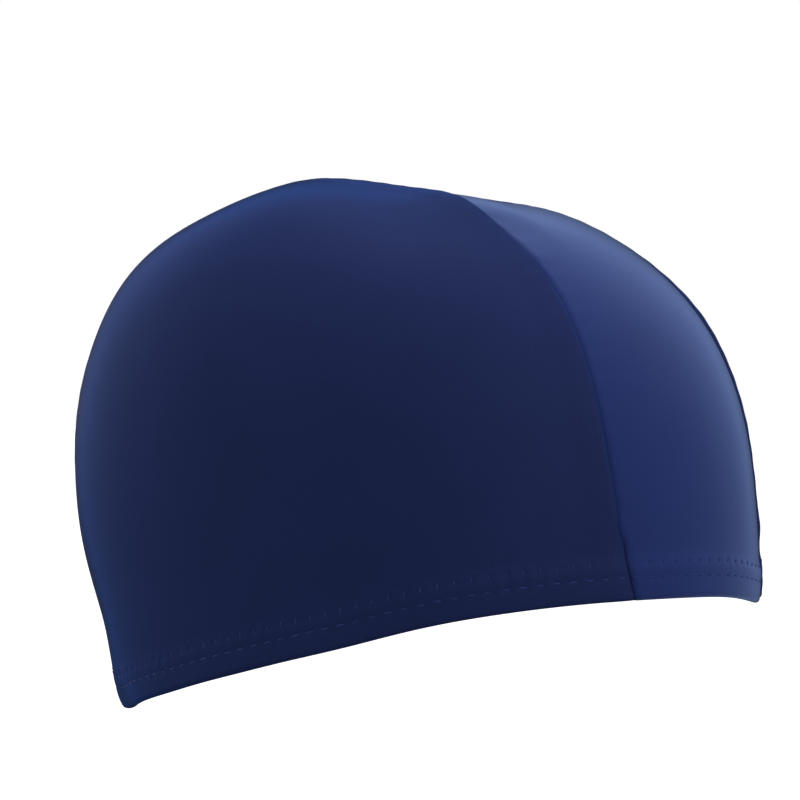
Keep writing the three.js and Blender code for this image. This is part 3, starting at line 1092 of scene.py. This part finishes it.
def spun_thread(name, colour):
    material = new_material(name)
    place = add_node(material, "ShaderNodeTexCoord")
    stripe = add_node(
        material, "ShaderNodeTexWave", {"bands_direction": "DIAGONAL"}, {
            "Vector": place.outputs["Object"], "Scale": TWIST_SCALE, "Distortion": 0.5})
    bump = add_node(
        material, "ShaderNodeBump", inputs={
            "Strength": 0.4, "Distance": 0.05 * MM, "Height": stripe.outputs[1]})
    shader = add_node(
        material, "ShaderNodeBsdfPrincipled", inputs={
            "Base Color": linear(colour), "Roughness": 0.6, "Specular IOR Level": 0.05,
            "Sheen Weight": THREAD_SHEEN, "Sheen Roughness": SHEEN_ROUGHNESS,
            "Sheen Tint": linear("#a3c1ff"), "Normal": bump.outputs[0]})
    add_node(material, "ShaderNodeOutputMaterial", inputs={0: shader.outputs[0]})
    return material


hem_thread = spun_thread("blue_polyester_thread", "#1f2a5b")
overlock_thread = spun_thread("navy_polyester_thread", "#232d52")

# %% [markdown]
# ## Dressing the pieces
# Each piece of cloth replaces its imported solid and rides on the cap's one body. For the three
# panels, the size they were cut to is worked out and printed: a cap is cut about an eighth
# smaller than the head each way, and the knit stretches.

# %% Materials, riding and cut sizes
STRETCH = 1.14                 # how much longer the worn cloth is than the cut one, each way
SIDE_AS_WORN = (205.0, 158.0)  # width and length over the head
CENTRE_AS_WORN = (76.0, 362.0)


def dress(piece, material, slot, *nodes):
    piece.data.materials.clear()
    piece.data.materials.append(material)
    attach(piece, "root")
    if nodes:
        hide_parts(*nodes)


def declare_cloth(piece, width, length):
    cut_area = sheet_area(piece) / STRETCH ** 2
    cut = (width / STRETCH * MM, length / STRETCH * MM)
    area = min(cut_area, cut[0] * cut[1])
    print(piece.name, "cut", [round(x / MM) for x in cut], "mm, area", round(area * 1e6))


for side, name in ((-1, "right"), (1, "left")):
    dress(side_panels[side], navy_knit, "navy_knit", f"side_panel_{name}")
    declare_cloth(side_panels[side], *SIDE_AS_WORN)
    dress(allowances[side], overlock_thread, "overlocked_edge", f"seam_{name}")
    dress(overlocks[side], hem_thread, "overlocked_edge")
dress(centre_cloth, blue_knit, "blue_knit", "centre_panel")
declare_cloth(centre_cloth, *CENTRE_AS_WORN)
for piece in stitch_rows + [looper]:
    dress(piece, hem_thread, "overlocked_edge")

# %% [markdown]
# ## The studio
# The photograph has a plain white ground and soft light from above, from the forehead's side
# and from behind: the middle of each panel is dark and its turned-away edges are light. The
# pale floor lies well below the cap, which is held up as a head would hold it. It is lit by
# itself like a light table, so that it meets the white ground without a line, and the cap
# doesn't see it, or the light from below would wash out the dark lower edge.

# %% Floor and world
FLOOR_LEVEL = -420.0
FLOOR_RADIUS = 9000.0
AIR_FROM_ABOVE = 0.31
AIR_FROM_BELOW = 0.25


def add_floor():
    bm = bmesh.new()
    bmesh.ops.create_circle(bm, cap_ends=True, segments=96, radius=FLOOR_RADIUS * MM)
    bmesh.ops.translate(bm, verts=bm.verts[:], vec=(0.0, 0.0, FLOOR_LEVEL * MM))
    floor = link_mesh("floor", bm)
    material = new_material("white_light_table")
    shader = add_node(
        material, "ShaderNodeBsdfPrincipled", inputs={
            "Base Color": linear("#f4f4f4"), "Roughness": 0.9,
            "Emission Color": linear("#ffffff"), "Emission Strength": 0.9})
    add_node(material, "ShaderNodeOutputMaterial", inputs={0: shader.outputs[0]})
    floor.data.materials.append(material)
    floor.visible_diffuse = False
    floor.visible_glossy = False
    floor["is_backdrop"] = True
    return floor


def white_world():
    world = bpy.data.worlds.new("studio_air")
    bpy.context.scene.world = world
    world.use_nodes = True
    world.node_tree.nodes.clear()
    way = add_node(world, "ShaderNodeTexCoord")
    parts = add_node(world, "ShaderNodeSeparateXYZ", inputs={0: way.outputs["Generated"]})
    strength = add_node(
        world, "ShaderNodeMapRange", {"interpolation_type": "SMOOTHSTEP"}, {
            "Value": parts.outputs[2], "From Min": -0.5, "From Max": 0.5,
            "To Min": AIR_FROM_BELOW, "To Max": AIR_FROM_ABOVE})
    seen = add_node(world, "ShaderNodeBackground", inputs={0: linear("#ffffff"), 1: 1.0})
    air = add_node(
        world, "ShaderNodeBackground", inputs={0: linear("#ffffff"), 1: strength.outputs[0]})
    path = add_node(world, "ShaderNodeLightPath")
    either = add_node(
        world, "ShaderNodeMixShader", inputs={
            0: path.outputs["Is Camera Ray"], 1: air.outputs[0], 2: seen.outputs[0]})
    add_node(world, "ShaderNodeOutputWorld", inputs={0: either.outputs[0]})


floor = add_floor()
white_world()
print("floor at", FLOOR_LEVEL, "mm")

# %% [markdown]
# Six soft boxes stand round the cap, each aimed at its middle. Pictures with one lamp each were
# added up by a least-squares study, which also weighed the air's light and the knits' dyes and
# sheens against the photograph. The powers are its results or up to 5% more, without its two
# weakest lamps.

# %% Soft boxes
SOFT_BOXES = (
    # name, place (m), width, height (m), power (W)
    ("top_box", (0.1, 0.2, 1.3), 1.2, 1.2, 14.3),
    ("high_forehead_box", (0.55, -0.9, 1.0), 1.0, 1.0, 6.0),
    ("nape_box", (-0.55, 1.25, 0.4), 0.8, 1.2, 8.7),
    ("front_box", (-0.4, -1.3, 0.45), 0.8, 1.2, 10.9),
    ("side_box", (-1.2, 0.4, 0.5), 0.8, 1.0, 2.6),
    ("far_nape_box", (0.3, 1.35, 0.5), 0.8, 1.2, 6.6),
)
CAP_MIDDLE = Vector((0.0, 0.0, 0.06))


def soft_box(name, place, width, height, power):
    lamp = bpy.data.lights.new(name, "AREA")
    lamp.shape = "RECTANGLE"
    lamp.size = width
    lamp.size_y = height
    lamp.energy = power
    box = bpy.data.objects.new(name, lamp)
    bpy.context.scene.collection.objects.link(box)
    box.location = place
    box.rotation_euler = (Vector(place) - CAP_MIDDLE).to_track_quat("Z", "Y").to_euler()


for row in SOFT_BOXES:
    soft_box(*row)
bpy.context.scene.view_settings.view_transform = "Standard"
print(len(SOFT_BOXES), "soft boxes")

# %% [markdown]
# ## Finish
# The corners of two boxes are gathered: the imported cap's and the dressed cap's.

# %% Sizes and finish
boxes = {"cad": cad_box, "visual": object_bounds()}
corners = {key: [list(map(float, corner)) for corner in box] for key, box in boxes.items()}
